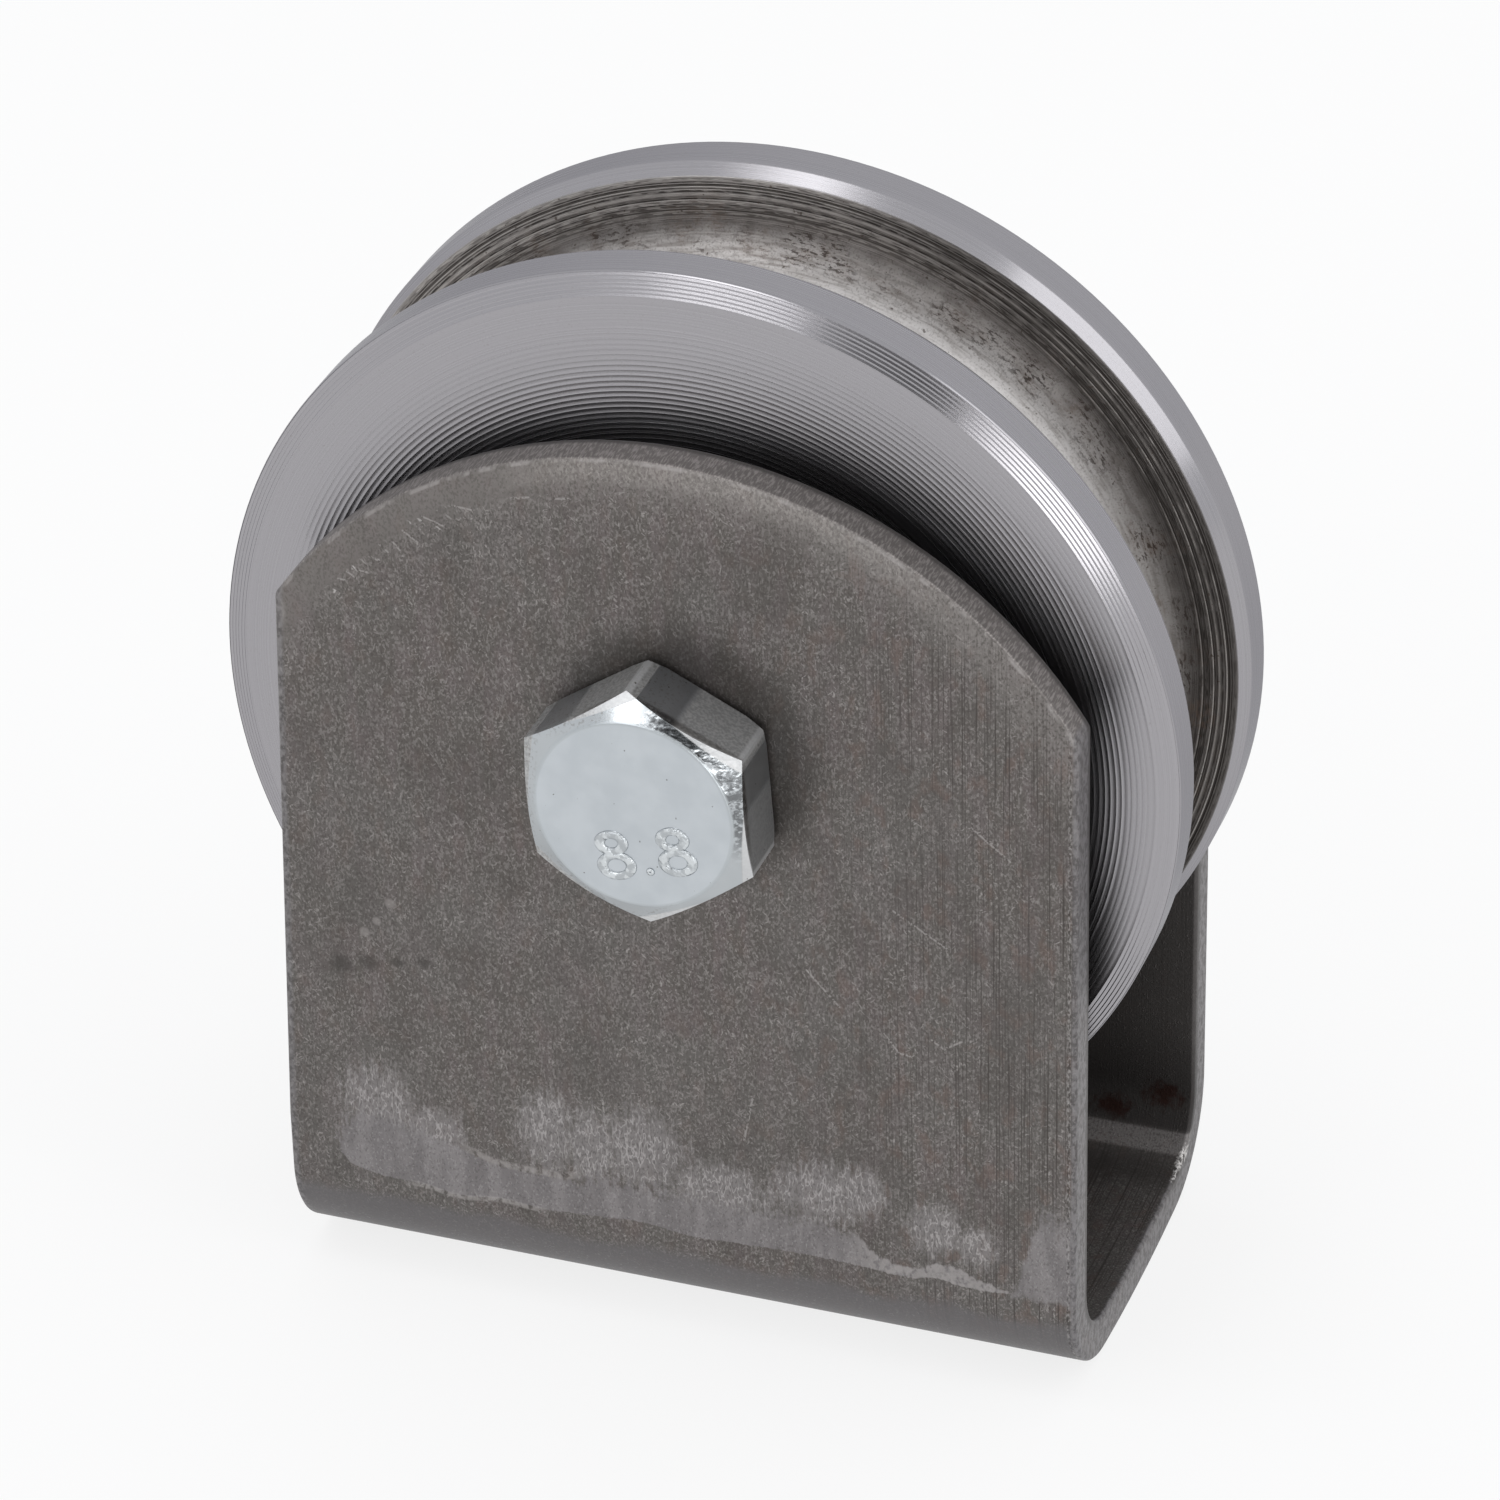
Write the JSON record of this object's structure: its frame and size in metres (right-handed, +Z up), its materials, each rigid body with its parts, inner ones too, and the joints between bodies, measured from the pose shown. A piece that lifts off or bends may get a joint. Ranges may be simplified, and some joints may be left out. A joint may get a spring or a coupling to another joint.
{
  "type": "brake cable pulley",
  "caption": "Grooved steel wheel on a hexagon bolt in a folded flat-bar bracket, which leads a brake cable round a corner.",
  "frame": {"origin": "middle of the bracket's flat underside", "axes": "+Z up from the base to the ears' crowns, +Y along the bolt from its head to its nut, +X along the bar's width"},
  "size_m": [0.071, 0.0564, 0.0836],
  "materials": {
    "hot_rolled_steel": "dark mill scale with fine drawing lines, scuffs and lighter worn edges",
    "turned_steel": "lathe-turned, with fine concentric feed ridges",
    "zinc_plate": "bright zinc plate",
    "nut_plastic": "milky plastic",
    "spacer_steel": "turned",
    "seal_rubber": "smooth black",
    "cage_steel": "pressed steel",
    "bearing_steel": "ground and polished"
  },
  "bodies": {
    "frame": {"bracket": "hot_rolled_steel", "axle_bolt": "zinc_plate", "lock_nut": "zinc_plate", "nut_insert": "nut_plastic", "nut_washer": "zinc_plate", "front_spacer": "spacer_steel", "back_spacer": "spacer_steel", "centre_spacer": "spacer_steel", "front_inner_ring": "bearing_steel", "back_inner_ring": "bearing_steel"},
    "wheel": {"wheel": "turned_steel", "front_outer_ring": "bearing_steel", "back_outer_ring": "bearing_steel", "front_outer_seal": "seal_rubber", "front_inner_seal": "seal_rubber", "back_outer_seal": "seal_rubber", "back_inner_seal": "seal_rubber"},
    "front_cage": {"front_cage": "cage_steel", "front_balls": "bearing_steel"},
    "back_cage": {"back_cage": "cage_steel", "back_balls": "bearing_steel"}
  },
  "joints": [
    {"name": "wheel_spin", "type": "hinge", "parent": "frame", "child": "wheel", "pos_m": [0, 0, 0.0481], "axis": [0, 1, 0], "continuous": true},
    {"name": "front_cage_spin", "type": "hinge", "parent": "frame", "child": "front_cage", "pos_m": [0, -0.0065, 0.0481], "axis": [0, 1, 0], "continuous": true},
    {"name": "back_cage_spin", "type": "hinge", "parent": "frame", "child": "back_cage", "pos_m": [0, 0.0065, 0.0481], "axis": [0, 1, 0], "continuous": true}
  ],
  "couplings": [
    {"joint": "front_cage_spin", "follows": "wheel_spin", "ratio": 0.6188},
    {"joint": "back_cage_spin", "follows": "wheel_spin", "ratio": 0.6188}
  ]
}
